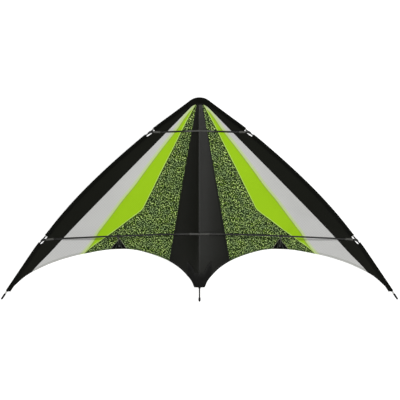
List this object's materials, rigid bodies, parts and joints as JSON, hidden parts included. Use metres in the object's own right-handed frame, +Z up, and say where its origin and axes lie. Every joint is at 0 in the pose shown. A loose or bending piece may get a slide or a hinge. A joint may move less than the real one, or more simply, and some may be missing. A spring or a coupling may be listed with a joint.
{
  "type": "stunt kite",
  "caption": "Two-line delta stunt kite with a panelled black, lime and grey sail on a rod frame, parked on its back.",
  "frame": {"origin": "centre of the whole kite's footprint, on the floor it lies on", "axes": "+X to the right wing as the flyer sees the frame side with the nose up, +Y to the nose, +Z up from the floor. The frame's own plane leans 12.5 degrees, nose low"},
  "size_m": [1.599, 0.8048, 0.1881],
  "materials": {
    "black_ripstop": "satin",
    "black_reinforcement": "matte",
    "grey_ripstop": "satin",
    "lime_ripstop": "satin",
    "patterned_ripstop": "satin",
    "fibreglass_rod": "gloss",
    "fitting_rubber": "matte",
    "cap_plastic": "matte"
  },
  "bodies": {
    "kite": {"centre_fitting": "fitting_rubber", "centre_panel": "black_ripstop", "left_edge_panel": "black_ripstop", "left_grey_panel": "grey_ripstop", "left_leading_edge_sleeve": "black_reinforcement", "left_leading_edge_spar": "fibreglass_rod", "left_lime_panel": "lime_ripstop", "left_lower_connector": "fitting_rubber", "left_lower_spreader": "fibreglass_rod", "left_pattern_panel": "patterned_ripstop", "left_sail_fitting": "cap_plastic", "left_stand_off_patch": "black_reinforcement", "left_upper_connector": "fitting_rubber", "left_wing_tip_cap": "cap_plastic", "nose_cover": "black_reinforcement", "right_edge_panel": "black_ripstop", "right_grey_panel": "grey_ripstop", "right_leading_edge_sleeve": "black_reinforcement", "right_leading_edge_spar": "fibreglass_rod", "right_lime_panel": "lime_ripstop", "right_lower_connector": "fitting_rubber", "right_lower_spreader": "fibreglass_rod", "right_pattern_panel": "patterned_ripstop", "right_sail_fitting": "cap_plastic", "right_stand_off_patch": "black_reinforcement", "right_upper_connector": "fitting_rubber", "right_wing_tip_cap": "cap_plastic", "spine": "fibreglass_rod", "tail_cap": "cap_plastic", "tail_collar": "cap_plastic", "tail_patch": "black_reinforcement", "upper_spreader": "fibreglass_rod"},
    "left_stand_off": {"left_stand_off_rod": "fibreglass_rod", "left_stand_off_foot": "fitting_rubber", "left_stand_off_clip": "fitting_rubber"},
    "right_stand_off": {"right_stand_off_rod": "fibreglass_rod", "right_stand_off_foot": "fitting_rubber", "right_stand_off_clip": "fitting_rubber"}
  },
  "joints": [
    {"name": "left_stand_off_swing", "type": "hinge", "parent": "kite", "child": "left_stand_off", "pos_m": [-0.328, -0.21434, 0.0124], "axis": [1, 0, 0], "range_deg": [0, 90]},
    {"name": "right_stand_off_swing", "type": "hinge", "parent": "kite", "child": "right_stand_off", "pos_m": [0.328, -0.21434, 0.0124], "axis": [1, 0, 0], "range_deg": [0, 90]}
  ]
}
